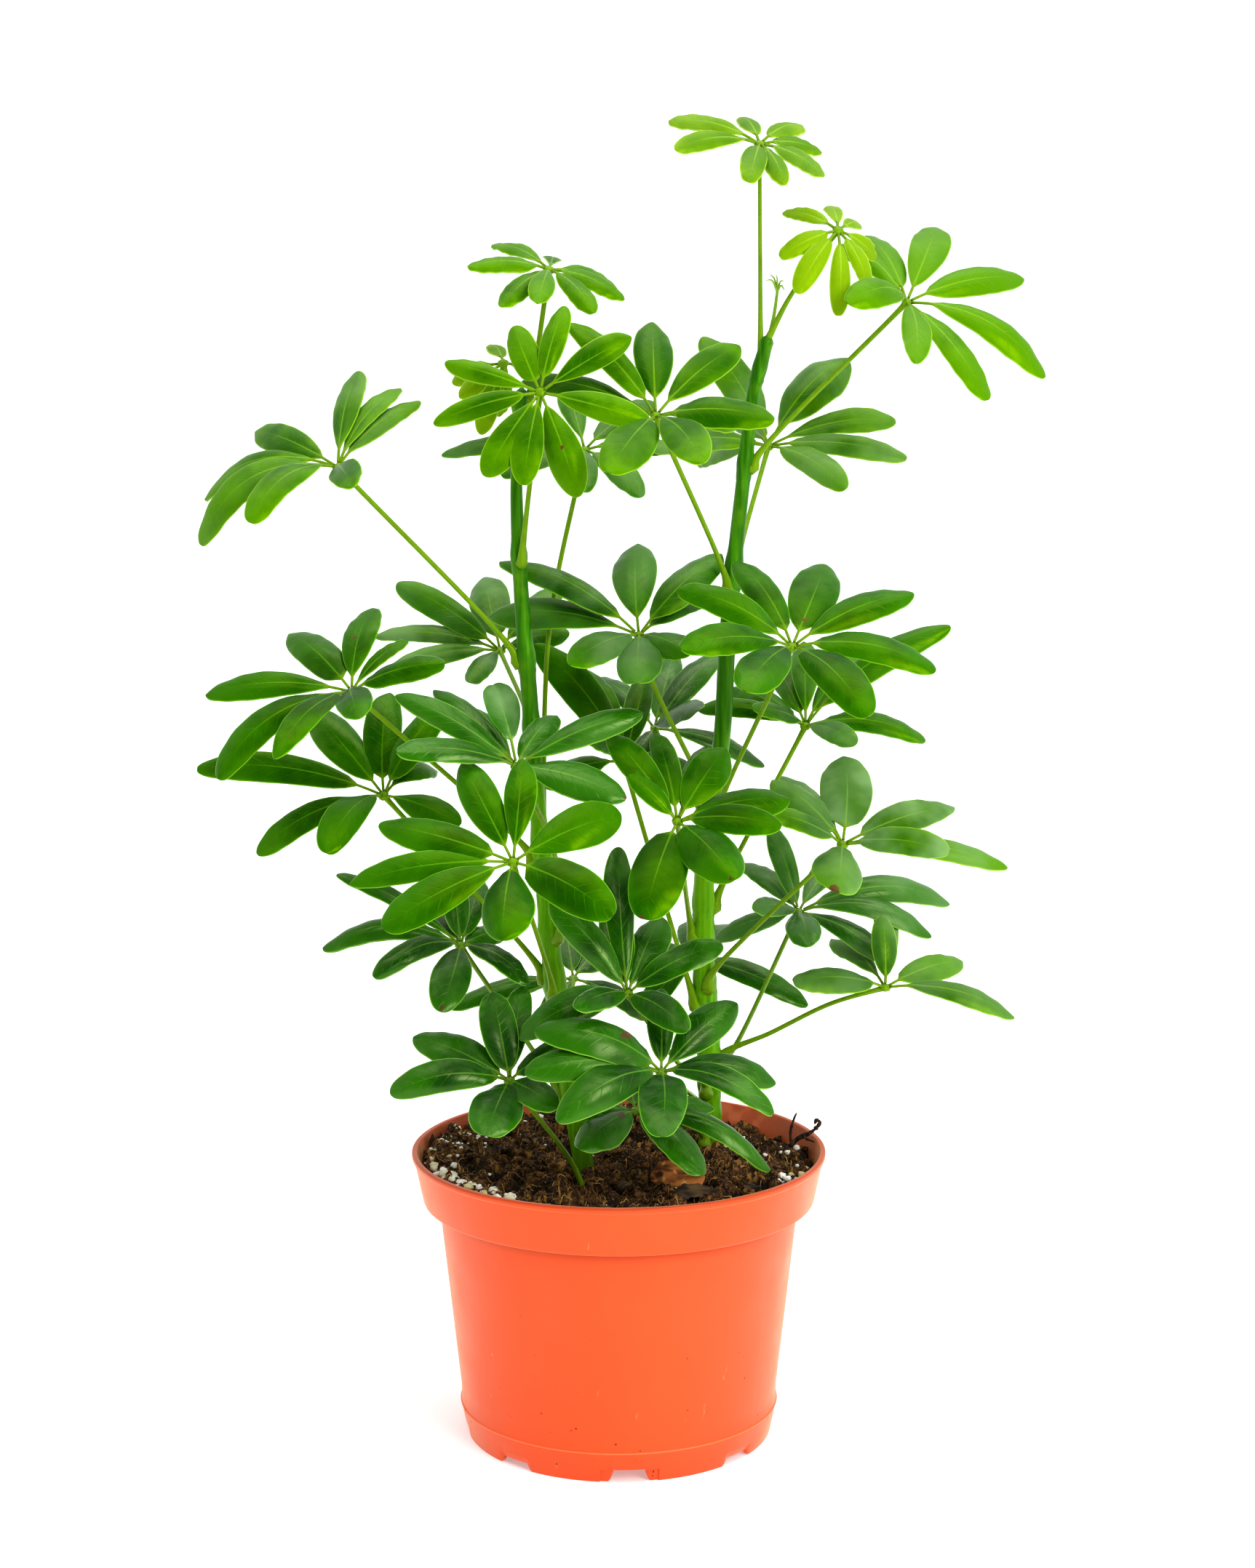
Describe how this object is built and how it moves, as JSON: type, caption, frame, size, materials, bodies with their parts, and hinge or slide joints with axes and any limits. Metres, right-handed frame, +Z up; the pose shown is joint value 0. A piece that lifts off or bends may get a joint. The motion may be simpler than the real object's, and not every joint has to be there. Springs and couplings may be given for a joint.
{
  "type": "potted umbrella plant",
  "caption": "Umbrella plant with upright green stems and whorled, long-stalked glossy leaves, in a round terracotta-coloured nursery pot.",
  "frame": {"origin": "the point under the pot's axis on the surface that it stands on", "axes": "+Z up along the pot's axis, +X to the right of the picture, -Y towards its camera"},
  "size_m": [0.3289, 0.204, 0.5197],
  "materials": {
    "pot": "satin",
    "soil": "rough",
    "stem": "satin",
    "leaf_young": "satin",
    "leaf_bright": "glossy",
    "leaf_mid": "glossy",
    "leaf_deep": "glossy",
    "bark": "rough",
    "twig": "rough"
  },
  "bodies": {
    "root": {"pot": "pot", "soil": "soil", "stem_left": "stem", "stem_right": "stem", "leaf_crown": "leaf_young", "leaf_young_tip": "leaf_young", "leaf_upper_right": "leaf_bright", "leaf_upper_right_back": "leaf_bright", "leaf_upper_centre": "leaf_bright", "leaf_rosette": "leaf_bright", "leaf_top_left": "leaf_bright", "leaf_young_left": "leaf_young", "leaf_upper_left": "leaf_bright", "leaf_upper_back": "leaf_mid", "leaf_centre": "leaf_mid", "leaf_right": "leaf_mid", "leaf_right_back": "leaf_mid", "leaf_left": "leaf_mid", "leaf_left_low": "leaf_mid", "leaf_left_back": "leaf_mid", "leaf_left_centre": "leaf_deep", "leaf_front_left": "leaf_mid", "leaf_front_right": "leaf_mid", "leaf_right_middle": "leaf_bright", "leaf_right_low_back": "leaf_deep", "leaf_right_low": "leaf_bright", "leaf_lower_left": "leaf_deep", "leaf_bottom_left": "leaf_deep", "leaf_front_low": "leaf_deep", "leaf_centre_low": "leaf_deep", "leaf_bottom_front": "leaf_deep", "leaf_back_low": "leaf_deep", "leaf_back_right_low": "leaf_deep", "leaf_centre_back": "leaf_mid", "leaf_right_centre_back": "leaf_deep", "bark_chip": "bark", "twig": "twig"}
  },
  "joints": []
}
